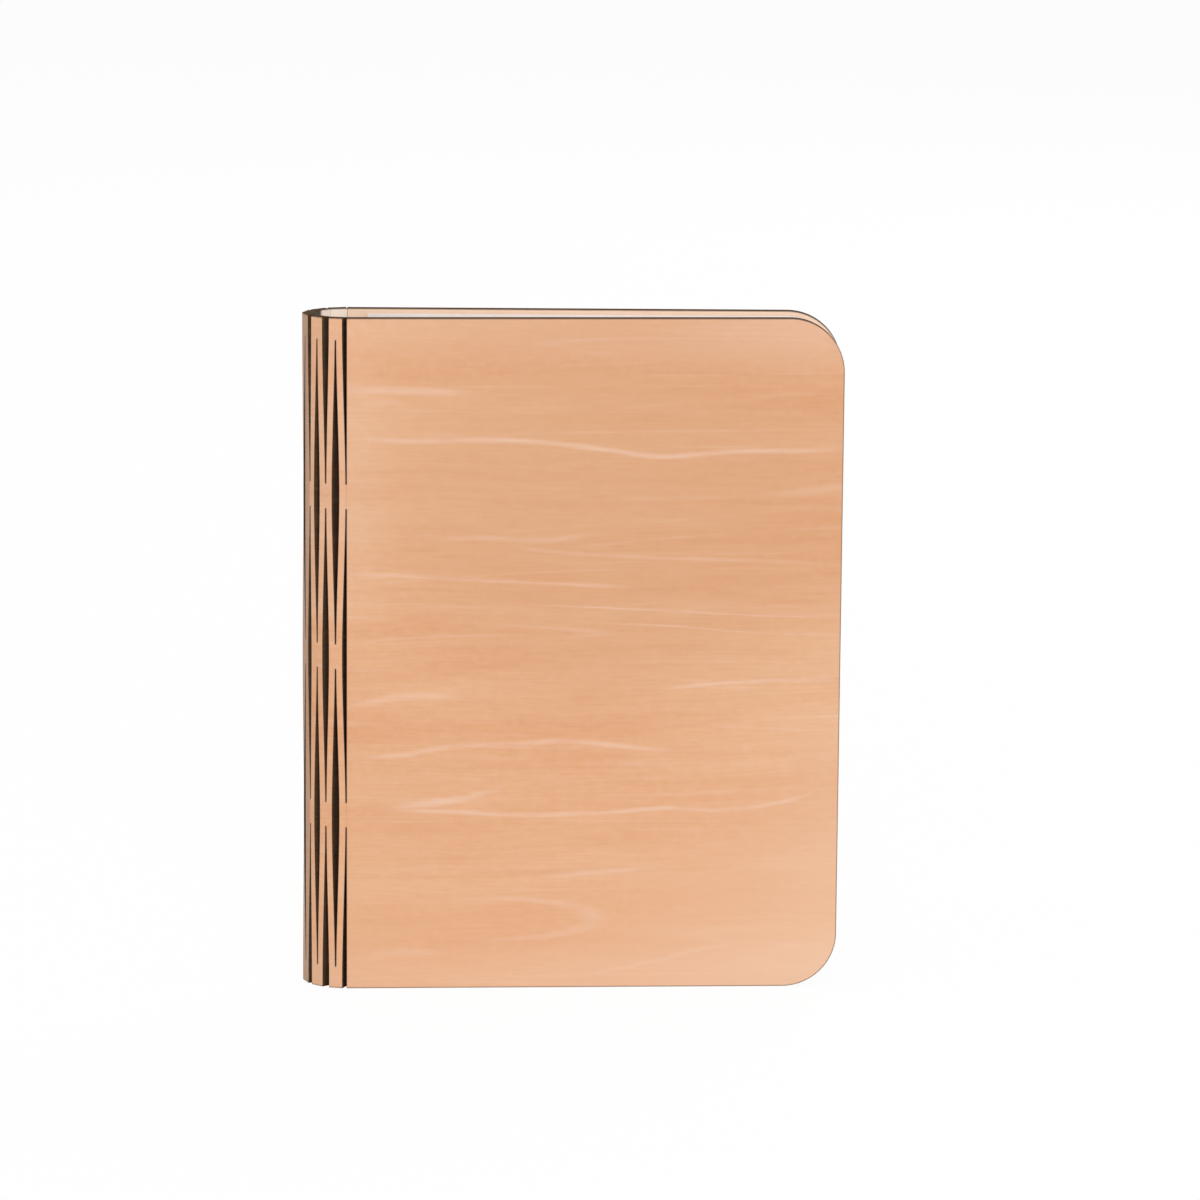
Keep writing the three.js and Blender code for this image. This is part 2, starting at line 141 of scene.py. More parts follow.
class PaperSize(bpy.types.PropertyGroup):
    """Sizes of the pleated paper"""

    start: length("Start", "From the hinge line to the pleats", 0.0066)
    end: length("End", "From the hinge line to the pleats' fore edge", 0.1545)
    inset: length("Inset", "From the covers' top and bottom edges", 0.0018)
    corner: length("Corner radius", "Radius of the free corners", 0.0157)
    sag: length("Sag", "How much lower the pleats hang at the fore edge", 0.0012)
    depth: length("Pleat depth", "From the outer folds to the inner folds", 0.06)
    inner_corner: length("Inner radius", "Radius of the inner folds' corners", 0.006)
    corner_steps: number("Corner steps", "Faces round each corner", 8)
    gauge: length("Gauge", "Thickness of the paper", 0.00015)
    spread_start: length("Spread at the start", "From the middle to the outermost page there", 0.00835)
    spread_end: length("Spread at the end", "The same at the fore edge", 0.00525)
    count: number("Pages", "Number of outer folds", 16)
    outermost_share: plain("Outermost share", "Share of its cover's swing for the outermost page", 0.992273)
    fold_lift_share: plain("Fold lift share", "Share of the gauge that keeps glued folds apart", 0.53)


class Tones(bpy.types.PropertyGroup):
    """Main colours of the wood and the paper"""

    veneer: tone("Veneer", "Veneer of the covers", "E6B48C")
    veneer_dark: tone("Darker veneer", "Darker parts of the covers' veneer", "E0A478")
    # The inner veneer's pale tone is painted light, standing in for the light that falls in from above
    inner_veneer: tone("Inner veneer", "Veneer inside the covers", "FCE2CC")
    paper: tone("Paper", "Pleated paper", "F6EEE9")


class StageSize(bpy.types.PropertyGroup):
    """Camera and floor"""

    camera_x: length("Camera X", "Camera's place", -0.05295)
    camera_y: length("Camera Y", "Camera's place", -1.88439)
    camera_z: length("Camera Z", "Camera's place", 0.49023)
    yaw: angle("Yaw", "Turn of the camera to the right", 1.884)
    pitch: angle("Pitch", "Downward tilt of the camera", 11.0082)
    roll: angle("Roll", "Roll of the camera", 0.4608)
    lens: plain("Lens", "Focal length in mm", 182.07)
    sensor: plain("Sensor", "Width of the sensor in mm", 36)
    clip_end: length("Clip end", "How far the camera sees", 200)
    floor: length("Floor", "Side of the floor", 60.0)


class BookLampSettings(bpy.types.PropertyGroup):
    """All sizes and colours that a user can change"""

    board: PointerProperty(type=BoardSize)
    hinge: PointerProperty(type=HingeSize)
    paper: PointerProperty(type=PaperSize)
    tones: PointerProperty(type=Tones)
    stage: PointerProperty(type=StageSize)


def settings():
    return bpy.context.scene.book_lamp


# Mesh helpers


def select_only(*objects):
    bpy.ops.object.select_all(action="DESELECT")
    for obj in objects:
        obj.select_set(True)
    bpy.context.view_layer.objects.active = objects[-1]


def start_edit(obj):
    select_only(obj)
    bpy.ops.object.mode_set(mode="EDIT")
    select_all()


def end_edit():
    bpy.ops.object.mode_set(mode="OBJECT")


def pick(kind, test):
    """Selects the vertices, edges or faces that pass the test"""
    bpy.ops.mesh.select_mode(type=kind)
    bpy.ops.mesh.select_all(action="DESELECT")
    mesh = bpy.context.edit_object.data
    work = bmesh.from_edit_mesh(mesh)
    parts = {"VERT": work.verts, "EDGE": work.edges, "FACE": work.faces}[kind]
    for part in parts:
        if test(part):
            part.select_set(True)
    bmesh.update_edit_mesh(mesh)


def select_all():
    bpy.ops.mesh.select_all(action="SELECT")


def middle(edge):
    return (edge.verts[0].co + edge.verts[1].co) / 2


def cut_across(place, direction, **options):
    select_all()
    bpy.ops.mesh.bisect(plane_co=place, plane_no=direction, **options)


def keep_half(piece, direction, **options):
    start_edit(piece)
    cut_across((0, 0, 0), direction, clear_inner=True, **options)
    end_edit()


def add_upright_plane(centre, width, height):
    bpy.ops.mesh.primitive_plane_add(size=1, location=centre, rotation=(math.pi / 2, 0, 0))
    plane = bpy.context.object
    plane.scale = (width, height, 1)
    bpy.ops.object.transform_apply(location=True, rotation=True, scale=True)
    return plane


def places_of(obj):
    places = np.zeros(len(obj.data.vertices) * 3)
    obj.data.vertices.foreach_get("co", places)
    return places.reshape(-1, 3)


def move_to(obj, places):
    obj.data.vertices.foreach_set("co", np.asarray(places, float).ravel())
    obj.data.update()


def store(obj, name, kind, values):
    """Keeps one value for each vertex as an attribute that the materials read"""
    attribute = obj.data.attributes.new(name, kind, "POINT")
    field = "vector" if kind == "FLOAT_VECTOR" else "value"
    attribute.data.foreach_set(field, np.asarray(values, float).ravel())


def copy_piece(master, name):
    piece = master.copy()
    piece.data = master.data.copy()
    piece.name = piece.data.name = name
    bpy.context.scene.collection.objects.link(piece)
    return piece


def smooth(obj, angle=30):
    select_only(obj)
    bpy.ops.object.shade_smooth_by_angle(angle=math.radians(angle))


def drop(obj):
    bpy.data.objects.remove(obj)


def dress(obj, *materials):
    obj.data.materials.clear()
    for material in materials:
        obj.data.materials.append(material)


# Node helpers


def wire(tree, node, inputs):
    """Links each input to a socket, or sets it to a value or to the colour of a hex code"""
    for name, value in inputs.items():
        if isinstance(value, bpy.types.NodeSocket):
            tree.links.new(value, node.inputs[name])
        else:
            node.inputs[name].default_value = colour(value) if isinstance(value, str) else value


def add(tree, kind, *inputs, output=0, **values):
    """Adds a node with its settings, wires its inputs in order or by a dict, and returns an output

    A kind in capitals is the operation of a Math node
    """
    if kind.isupper():
        kind, values = "Math", {"operation": kind}
    node = tree.nodes.new("ShaderNode" + kind)
    for name, value in (USUAL.get(kind, {}) | values).items():
        setattr(node, name, value)
    by_name = bool(inputs) and isinstance(inputs[0], dict)
    wire(tree, node, inputs[0] if by_name else dict(enumerate(inputs)))
    return node.outputs[output]


def distance(tree, value, centre):
    """How far a value lies from a centre"""
    return add(tree, "ABSOLUTE", add(tree, "SUBTRACT", value, centre))


def oval(tree, across, up, centre, radii):
    """Square of the distance from a centre, with 1 on the oval that has these radii"""
    squares = []
    for place, middle_place, radius in zip((across, up), centre, radii):
        away = add(tree, "SUBTRACT", place, middle_place)
        share = add(tree, "DIVIDE", away, radius)
        squares.append(add(tree, "MULTIPLY", share, share))
    return add(tree, "ADD", *squares)


def pattern(tree, place, mm, detail=2.0, roughness=0.5, distortion=0.0):
    """Cloudy pattern whose spots have one size in mm, or three along X, Y and Z"""
    scale = [1000 / spot for spot in np.broadcast_to(mm, 3)]
    inputs = {
        "Vector": add(tree, "VectorMath", place, scale),
        "Scale": 1.0,
        "Detail": detail,
        "Roughness": roughness,
        "Distortion": distortion,
    }
    return add(tree, "TexNoise", inputs)


def wander(tree, value, spots, reach):
    """A value that a pattern shifts to and fro by up to half the reach"""
    shift = add(tree, "SUBTRACT", spots, 0.5)
    return add(tree, "MULTIPLY_ADD", shift, reach, value)


def layer(tree, base, over, amount, *span):
    """Lays a colour over the base by an amount, or by what a span of MapRange makes of it"""
    if span:
        amount = add(tree, "MapRange", amount, *span)
    return add(tree, "Mix", {0: amount, 6: base, 7: over}, output=2)


def surface(tree, base, roughness, height, strength, depth, others=None):
    """Wires the shader's base colour, roughness and bump, and sets its other inputs"""
    bump = add(tree, "Bump", {"Height": height, "Strength": strength, "Distance": depth})
    inputs = {"Base Color": base, "Roughness": roughness, "Normal": bump}
    wire(tree, tree.nodes["Principled BSDF"], inputs | (others or {}))


# Materials. Fibres, pores, die lines and moulded grain are drawn as coarse as they need to show

# Pale streaks of the front cover's veneer, as (strength, half width, points of (across, up)), in mm
STREAKS = (
    (0.50, 1.4, ((2, 177), (24, 176.2), (44, 176.7), (59, 176.1), (74, 174.5), (98, 171.5), (120, 172.6),
                 (156, 173.6))),
    (0.45, 2.0, ((0, 191.8), (12, 192.3), (25, 192), (41, 191.6))),
    (0.30, 1.8, ((3, 187.6), (12, 188.4), (20, 188.2))),
    (0.35, 1.53, ((26, 144.5), (42, 145.5), (60, 144.6), (78, 147.0))),
    (0.25, 1.02, ((50, 143), (72, 140.5), (100, 139.0), (150, 137.5))),
    (0.35, 1.02, ((1, 134.0), (22, 133.2), (48, 131.6), (90, 129.8))),
    (0.40, 0.59, ((60, 124.0), (95, 122.6), (120, 120.9), (156, 119.8))),
    (0.30, 0.59, ((75, 118.2), (105, 117.0), (130, 115.0), (156, 114.0))),
    (0.25, 0.85, ((2, 111.5), (20, 113.5), (40, 114.2), (55, 114.0))),
    (0.45, 1.2, ((99, 97), (118, 98.7), (132, 99.4), (156, 99.8))),
    (0.40, 1.9, ((0, 91), (8, 93), (16, 94.4), (38, 94.4))),
    (0.55, 1.5, ((3, 74.8), (17, 75.8), (29, 77.9), (42, 79.1), (55, 79.2), (67, 80.3), (80, 79.3),
                 (104, 76.8))),
    (0.60, 1.9, ((11, 59), (24, 60), (35, 61.4), (42, 62.9), (49, 65))),
    (0.50, 1.2, ((12, 58), (38, 57.2), (54, 56.5), (78, 56.7), (100, 58.2), (118, 57.8), (134, 59.3),
                 (150, 64))),
    (0.45, 1.53, ((62, 36.0), (80, 37.6), (102, 39.4))),
    (0.30, 1.19, ((74, 3.5), (96, 8.0), (112, 12.0), (128, 15.5))),
    (0.25, 2.04, ((3, 10.0), (18, 11.5), (34, 11.0))),
)
LONGEST_FADE = 0.012  # In metres


def streak(tree, across, up, strength, half_width, points):
    """Strength of one pale streak at each place"""
    size = settings().board
    share = add(tree, "DIVIDE", across, size.length)
    course = add(tree, "FloatCurve", {"Value": share})
    mapping = course.node.mapping
    curve = mapping.curves[0].points
    spots = [(x / 1000 / size.length, z / 1000 / size.height) for x, z in points]
    curve[0].location, curve[-1].location = spots[0], spots[-1]
    for spot in spots[1:-1]:
        curve.new(*spot)
    mapping.update()
    line = add(tree, "MULTIPLY", course, size.height)
    near = add(tree, "MapRange", distance(tree, up, line), 0.0, half_width / 1000, 1.0, 0.0)
    begin, end = points[0][0] / 1000, points[-1][0] / 1000
    fade = min(LONGEST_FADE, (end - begin) / 3)
    starts = add(tree, "MapRange", across, begin - fade / 4, begin + fade)
    ends = add(tree, "MapRange", across, end - fade, end + fade / 4, 1.0, 0.0)
    inside = add(tree, "MULTIPLY", starts, ends)
    shown = add(tree, "MULTIPLY", near, inside)
    return add(tree, "MULTIPLY", shown, strength)


def smoke(tree, wood):
    """Browns the wood along its cut edges"""
    scorch = add(tree, "Attribute", attribute_name="scorch", output="Fac")
    return layer(tree, wood, "4A3122", add(tree, "POWER", scorch, 1.2))


def veneer(tree):
    """Maple veneer with a clear matt lacquer, scorched by the laser along its cut edges"""
    board, tones = settings().board, settings().tones
    sheet = add(tree, "Attribute", attribute_name="sheet", output="Vector")
    axes = add(tree, "SeparateXYZ", sheet).node.outputs
    across, up = axes["X"], axes["Z"]

    # The grain runs across the cover and wanders slowly up and down
    height = wander(tree, up, pattern(tree, sheet, (111.1, EVEN, 62.5), 1.0), 0.009)
    grain = add(tree, "CombineXYZ", {"X": across, "Z": height})
    soft = pattern(tree, grain, (200, EVEN, 23.81), 3.0, 0.55)
    bands = pattern(tree, grain, (166.7, EVEN, 4.348), 4.0, 0.65)
    fibres = pattern(tree, grain, (14.29, EVEN, 0.6667), 3.0, 0.6)
    pores = pattern(tree, grain, (2.381, EVEN, 0.2778), 1.0, 0.5)
    mottle = pattern(tree, sheet, (4.167, EVEN, 2.381), 2.0, 0.6)
    wood = layer(tree, tones.veneer, tones.veneer_dark, soft, 0.34, 0.66)
    wood = layer(tree, wood, "D8976C", bands, 0.5, 0.78, 0.0, 0.6)
    wood = layer(tree, wood, "EBC3A1", bands, 0.22, 0.46, 0.5, 0.0)
    wood = layer(tree, wood, "C98A62", fibres, 0.35, 0.7, 0.0, 0.18)
    wood = layer(tree, wood, "F0CDB0", mottle, 0.35, 0.7, 0.0, 0.12)
    wood = layer(tree, wood, "BC7E56", pores, 0.66, 0.8, 0.0, 0.2)

    # A darker heart above the middle, and a paler and pinker corner at the bottom of the fore edge
    heart = oval(tree, across, up, centre=(0.09, 0.165), radii=(0.09, 0.07))
    wood = layer(tree, wood, "CF966C", heart, 0.0, 1.6, 0.5, 0.0)
    outwards = add(tree, "DIVIDE", across, board.length)
    upwards = add(tree, "DIVIDE", up, 0.12)
    corner = add(tree, "SUBTRACT", outwards, upwards)
    wood = layer(tree, wood, "EFCBAE", corner, -0.1, 1.0, 0.0, 0.55)

    # Paler towards the top, the spine and the foot
    uneven = wander(tree, up, soft, 0.03)
    half = board.height / 2
    rim = add(tree, "MapRange", distance(tree, uneven, half), half - 0.022, half)
    rim_strength = add(tree, "MapRange", across, 0.08, 0.15, 0.12, 0.25)
    rim = add(tree, "MULTIPLY", rim, rim_strength)
    spine = add(tree, "MapRange", across, -0.001, 0.022, 0.12, 0.0)
    above_foot = add(tree, "MapRange", uneven, 0.1, 0.15)
    spine = add(tree, "MULTIPLY", spine, above_foot)
    wood = layer(tree, wood, "EDB78E", uneven, 0.0, 0.1, 0.3, 0.0)
    wood = layer(tree, wood, "F3D8C4", add(tree, "MAXIMUM", rim, spine))

    # Faint pale lines where the growth rings come to the surface
    rings = add(tree, "MULTIPLY", pattern(tree, sheet, (454.5, EVEN, 16.67), 1.0), 8.0)
    contour = distance(tree, add(tree, "FRACT", rings), 0.5)
    broken = pattern(tree, sheet, (33.33, EVEN, 6.25), 2.0)
    line = add(tree, "MapRange", contour, 0.0, 0.12, 0.16, 0.0)
    gaps = add(tree, "MapRange", broken, 0.4, 0.7)
    pale = add(tree, "MULTIPLY", line, gaps)

    # The long pale streaks, and the hairpin figure near the bottom, which opens towards the spine
    frayed = wander(tree, up, pattern(tree, sheet, (22.22, EVEN, 2.632), 2.0, 0.6), 0.0016)
    found = [streak(tree, across, frayed, *each) for each in STREAKS]
    turn = add(tree, "SQRT", oval(tree, across, frayed, (0.045, 0.0225), (0.034, 0.0068)))
    ring = add(tree, "MapRange", distance(tree, turn, 1.0), 0.0, 0.2, 0.4, 0.0)
    closed_end = add(tree, "MapRange", across, 0.024, 0.07)
    found.append(add(tree, "MULTIPLY", ring, closed_end))
    streaks = found[0]
    for one in found[1:]:
        streaks = add(tree, "MAXIMUM", streaks, one)
    patchy = pattern(tree, sheet, (22.22, EVEN, 4.545), 2.0, 0.6)
    patches = add(tree, "MapRange", patchy, 0.3, 0.62, 0.35, 0.75)
    streaks = add(tree, "MULTIPLY", streaks, patches)
    wood = layer(tree, wood, "F3D6C4", add(tree, "MAXIMUM", pale, streaks))

    # The crown of the spine, the scorched rims there too, is greyed as painted shade where it turns away from the
    # light
    crown = distance(tree, across, -STRIPS * settings().hinge.pitch)
    wood = layer(tree, smoke(tree, wood), "9C8472", crown, 0.005, 0.0065, 0.6, 0.0)
    roughness = add(tree, "MapRange", fibres, 0.3, 0.7, 0.5, 0.62)
    lift = add(tree, "MULTIPLY_ADD", pores, -0.6, fibres)
    surface(tree, wood, roughness, lift, 0.12, 0.00004, {"Specular IOR Level": 0.35})


def inner_veneer(tree):
    """Veneer of the inner faces, painted pale to stand in for the light that falls in from above, with painted
    shade at the ends of the spine's crown
    """
    tones = settings().tones
    sheet = add(tree, "Attribute", attribute_name="sheet", output="Vector")
    axes = add(tree, "SeparateXYZ", sheet).node.outputs
    bands = pattern(tree, sheet, (125, EVEN, 5.882), 3.0, 0.6)
    fibres = pattern(tree, sheet, (12.5, EVEN, 0.6667), 3.0, 0.6)
    wood = layer(tree, tones.inner_veneer, "F8D9C0", bands, 0.3, 0.7)
    wood = layer(tree, wood, "E6BFA2", fibres, 0.35, 0.7, 0.0, 0.2)
    crown = distance(tree, axes["X"], -STRIPS * settings().hinge.pitch)
    # Painted light: the inner faces of the hinge, within about 17 mm of the crown, are painted paler
    wood = layer(tree, wood, "FFF0E2", crown, 0.017, 0.019, 0.85, 0.0)
    # Painted shade: the inner faces at the crown are painted dark grey near the top and bottom ends
    half = settings().board.height / 2
    ends = add(tree, "MapRange", distance(tree, axes["Z"], half), half - 0.004, half - 0.0015)
    crown_end_shade = add(tree, "MapRange", crown, 0.0072, 0.0086, 0.95, 0.0)
    wood = layer(tree, wood, "3A322D", add(tree, "MULTIPLY", crown_end_shade, ends))
    surface(tree, smoke(tree, wood), 0.75, fibres, 0.15, 0.00004, {"Specular IOR Level": 0.2})


def burnt_edge(tree):
    """Laser-cut edge of plywood, scorched brown, with its plies and the beam's fine ridges"""
    sheet = add(tree, "Attribute", attribute_name="sheet", output="Vector")
    from_core = add(tree, "ABSOLUTE", add(tree, "SeparateXYZ", sheet, output="Y"))
    ridges = pattern(tree, sheet, (0.3846, 8.333, 0.3846), 2.0, 0.6)
    patches = pattern(tree, sheet, (6.25, 16.67, 6.25), 2.0)
    brown = layer(tree, "594433", "4A382B", from_core, 0.00045, 0.0006, 1.0, 0.0)
    brown = layer(tree, brown, "2E231B", ridges, 0.35, 0.7, 0.0, 0.6)
    brown = layer(tree, brown, "6C503B", patches, 0.45, 0.75, 0.0, 0.4)
    surface(tree, brown, 0.85, ridges, 0.4, 0.00008, {"Specular IOR Level": 0.02})


def pleat_paper(tree):
    """White synthetic paper with faint random fibres and a soft cloudiness"""
    place = add(tree, "TexCoord", output="Object")
    clouds = pattern(tree, place, 16.67, 3.0, 0.6)
    fibres = pattern(tree, place, 1.111, 2.0, 0.6, 2.5)
    paper = layer(tree, settings().tones.paper, "F3EAE4", clouds, 0.35, 0.7)
    paper = layer(tree, paper, "E8DFD8", fibres, 0.52, 0.7, 0.0, 0.25)
    surface(tree, paper, 0.7, fibres, 0.25, 0.00003, {"Specular IOR Level": 0.25})


def plastic(tree, light, dark, roughness, grain):
    """Injection-moulded plastic with a fine spark-eroded grain"""
    place = add(tree, "TexCoord", output="Object")
    speckle = pattern(tree, place, 0.4167, 1.0)
    shade = pattern(tree, place, 33.33, 2.0)
    base = layer(tree, light, dark, shade, 0.3, 0.7)
    varied = add(tree, "MapRange", speckle, 0.3, 0.7, roughness - 0.05, roughness + 0.08)
    surface(tree, base, varied, speckle, grain, 0.00003)


def opal_plastic(tree):
    """Opal acrylic, smooth and milky"""
    plastic(tree, "F6F5F1", "EFEEEA", 0.42, 0.08)


def white_plastic(tree):
    """White ABS with a satin moulded grain"""
    plastic(tree, "ECEBE8", "E5E4E1", 0.5, 0.14)


def one_pattern(tree, mm, light, dark, span, rough, strength, depth, others, detail=2.0, grit=0.5):
    """Surface whose colour, height and mostly roughness too follow one pattern"""
    spots = pattern(tree, add(tree, "TexCoord", output="Object"), mm, detail, grit)
    base = layer(tree, light, dark, spots, *span)
    if isinstance(rough, tuple):
        rough = add(tree, "MapRange", spots, *rough)
    surface(tree, base, rough, spots, strength, depth, others)


def aluminium(tree):
    """Silver-anodised aluminium extrusion with fine die lines along its length"""
    lines, rough = (0.3846, 0.3846, 71.43), (0.3, 0.7, 0.3, 0.42)
    metal = {"Metallic": 1.0}
    one_pattern(tree, lines, "C4C6C8", "AFB1B4", (0.3, 0.7), rough, 0.08, 0.00002, metal, grit=0.6)


def nickel(tree):
    """Nickel plate, polished but for faint handling marks"""
    rough, metal = (0.35, 0.7, 0.18, 0.32), {"Metallic": 1.0}
    one_pattern(tree, 1.111, "D6D4D0", "C2BFBA", (0.4, 0.7), rough, 0.05, 0.00001, metal, 3.0, 0.65)


def cell_sleeve(tree):
    """Blue shrink sleeve of a lithium cell, slightly wrinkled"""
    wrinkles, gloss = (3.333, 3.333, 11.11), {"Coat Weight": 0.3}
    one_pattern(tree, wrinkles, "3F70A8", "36629A", (0.35, 0.7), 0.3, 0.2, 0.00005, gloss, 3.0, 0.6)


def clear_plastic(tree):
    """Clear moulded acrylic with a faint haze"""
    rough, glass = (0.3, 0.7, 0.06, 0.16), {"Transmission Weight": 0.85, "IOR": 1.49}
    one_pattern(tree, 1.429, "F4F8FA", "E4EBEF", (), rough, 0.03, 0.00001, glass)


def strip_board(tree):
    """White solder mask of an LED strip, with a row of yellow phosphor packages"""
    pitch, half_length_share, half_width = 0.0083, 0.17, 0.0014
    place = add(tree, "TexCoord", output="Object")
    axes = add(tree, "SeparateXYZ", place).node.outputs
    repeat = add(tree, "FRACT", add(tree, "DIVIDE", axes["Z"], pitch))
    along = add(tree, "LESS_THAN", distance(tree, repeat, 0.5), half_length_share)
    sideways = add(tree, "ABSOLUTE", axes["Y"])
    beside = add(tree, "LESS_THAN", sideways, half_width)
    speckle = pattern(tree, place, 0.8333, 2.0)
    mask = layer(tree, "F4F4F0", "E9E9E4", speckle, 0.3, 0.7)
    base = layer(tree, mask, "F2D36B", add(tree, "MULTIPLY", along, beside))
    surface(tree, base, 0.45, speckle, 0.1, 0.00002)


def circuit_board(tree):
    """Green solder mask over copper tracks"""
    track_spacing = 0.002381
    place = add(tree, "TexCoord", output="Object")
    inputs = {"Vector": place, "Scale": 1 / track_spacing}
    cells = add(tree, "TexVoronoi", inputs, output="Distance", distance="MANHATTAN")
    tracks = add(tree, "MapRange", cells, 0.3, 0.5)
    base = layer(tree, "1F6B44", "17523A", tracks)
    surface(tree, base, 0.4, tracks, 0.15, 0.00003, {"Coat Weight": 0.4})


MATERIALS = {
    "veneer": ("maple_veneer", veneer),
    "inner_veneer": ("raw_inner_veneer", inner_veneer),
    "burnt_wood": ("scorched_plywood_edge", burnt_edge),
    "paper": ("white_pleat_paper", pleat_paper),
    "anodised_aluminium": ("anodised_aluminium", aluminium),
    "opal_plastic": ("opal_acrylic", opal_plastic),
    "white_plastic": ("white_abs_plastic", white_plastic),
    "strip_board": ("led_strip_board", strip_board),
    "cell_sleeve": ("cell_shrink_sleeve", cell_sleeve),
    "circuit_board": ("circuit_board", circuit_board),
    "nickel": ("nickel_plate", nickel),
    "clear_plastic": ("clear_plastic", clear_plastic),
}
SLOTS = {part["node"]: part["material_slot"] for part in frame["record"]["subparts"]}
made = {}


def start_material(name):
    material = bpy.data.materials.new(name)
    material.use_nodes = True
    return material


def material_for(slot):
    if slot not in made:
        name, build = MATERIALS[slot]
        made[slot] = start_material(name)
        build(made[slot].node_tree)
    return made[slot]


# The unrolled sheet and its bent place


def slot_rows(column):
    """Lowest and highest point of each slot of a column. Slots of even columns run out at the ends"""
    size = settings().hinge
    height = settings().board.height
    if column % 2 == 0:
        low = size.end_slot + size.bridge
        long_slot = height - 2 * low
        top = height - size.end_slot
        return [(-size.end_slot, size.end_slot), (low, low + long_slot), (top, height + size.end_slot)]
    long_slot = (height - 2 * size.end_bridge - size.bridge) / 2
    low = size.end_bridge
    return [(low, low + long_slot), (low + long_slot + size.bridge, height - low)]


def bow_at(side, column, flat):
    """How far the edges of a column's slots have bowed apart at each point, most at the outer face"""
    size = settings().hinge
    outward = 0.5 - flat[:, 1] / settings().board.thickness
    if side == "front":
        outer_bow = size.bow * np.interp(column, CROWN_COLUMNS, (1, size.crown_bow_share))
        most = size.inner_bow + (outer_bow - size.inner_bow) * outward
    else:
        most = np.full(len(flat), size.back_bow if column else -size.closing)
    bow = np.zeros(len(flat))
    for low, high in slot_rows(column):
        share = np.clip((flat[:, 2] - low) / (high - low), 0, 1)
        bow += most * (4 * share * (1 - share)) ** 2
    return bow


def in_slot(column, up):
    found = np.zeros(len(up), bool)
    for low, high in slot_rows(column):
        found |= (up > low - TINY) & (up < high + TINY)
    return found


def even_share(up):
    """1 at the bridges of the even columns, 0 at those of the odd ones, linear between"""
    (odd_low, odd_high), (odd_next, odd_last) = slot_rows(1)
    (_, first), (second, third), (fourth, _) = slot_rows(0)
    knots = (odd_low, first, second, odd_high, odd_next, third, fourth, odd_last)
    return np.interp(up, knots, (0, 1, 1, 0, 0, 1, 1, 0))


def column_places():
    """Middle of each slot column of the front half in the plan, from the cover to the light bar"""
    joints = {joint["child"]: np.array(joint["pos_m"][:2]) for joint in frame["joints"]}
    return [joints["front_edge"]] + [joints["slat_%d" % n] for n in range(1, STRIPS + 1)]


def headings():
    """Heading of the front cover and of each strip of the front half, from the cover to the light bar"""
    mounts = {mount["name"]: mount["axis"] for mount in frame["record"]["mounts"]}
    axis = mounts["front_cover_face"]
    places = column_places()
    found = [math.atan2(axis[0], -axis[1])]
    for outer, inner in zip(places, places[1:]):
        found.append(math.atan2(outer[1] - inner[1], outer[0] - inner[0]))
    return found


def strip_place(strip, along, out, up):
    """Place in the front half of points on a strip, measured from its middle. Strip 0 is the cover"""
    size = settings().hinge
    places, turns = column_places(), headings()
    heading = np.full(len(up), turns[strip])
    if strip == 0:
        centre = places[0] + np.array([math.cos(turns[0]), math.sin(turns[0])]) * size.pitch / 2
    else:
        centre = (places[strip] + places[strip - 1]) / 2
        outward = turns[strip - 1] - turns[strip]
        inward = turns[strip] - turns[strip + 1] if strip < STRIPS else 2 * (turns[STRIPS] + math.pi / 2)
        outward_half = outward if strip == 1 else outward / 2
        even = even_share(up)
        outer_share = even if (strip - 1) % 2 == 0 else 1 - even
        heading = heading + outer_share * outward_half - (1 - outer_share) * inward / 2
    x = centre[0] + along * np.cos(heading) + out * np.sin(heading)
    y = centre[1] + along * np.sin(heading) - out * np.cos(heading)
    return np.stack([x, y, up], 1)


def bend(side, column, flat):
    """Bent place of flat points round one column, as across from its middle, inwards and up"""
    size = settings().hinge
    across, out, up = flat[:, 0], -flat[:, 1], flat[:, 2]
    half = size.pitch / 2
    outer = strip_place(column, across - half, out, up)
    if column < STRIPS:
        inner = strip_place(column + 1, across + half, out, up)
    else:
        inner = strip_place(STRIPS, -across - half, out, up) * (1, -1, 1)
    share = np.clip(across / size.kerf + 0.5, 0, 1)
    share = (share * share * (3 - 2 * share))[:, None]
    bent = inner * (1 - share) + outer * share
    if side == "back":
        bent = bent * (1, -1, 1)
    return bent


def open_slots(side, column, flat):
    """Moves the edges of a column's slots apart. The cover's side of the first column stays straight"""
    size = settings().hinge
    half = size.pitch / 2
    across = flat[:, 0]
    free = np.clip((half - np.abs(across)) / (half - size.kerf / 2), 0, 1)
    inward = (0.5 + flat[:, 1] / settings().board.thickness) * in_slot(column, flat[:, 2])
    closed = size.closing * inward * (np.abs(across) < size.kerf / 2 + TINY)
    move = np.sign(across) * (free * bow_at(side, column, flat) - closed)
    move[np.abs(across) < size.kerf / 4] = 0
    if column == 0:
        move[across > 0] = 0
    opened = flat.copy()
    opened[:, 0] += move
    return opened


def sheet_place(side, column, flat):
    """Place on the unrolled sheet, with 0 at the front cover's hinge line"""
    size = settings().hinge
    sheet = flat.copy()
    sheet[:, 1] = -flat[:, 1]
    if side == "front":
        sheet[:, 0] = flat[:, 0] - column * size.pitch
    else:
        sheet[:, 0] = (column - 2 * STRIPS) * size.pitch - flat[:, 0]
    return sheet


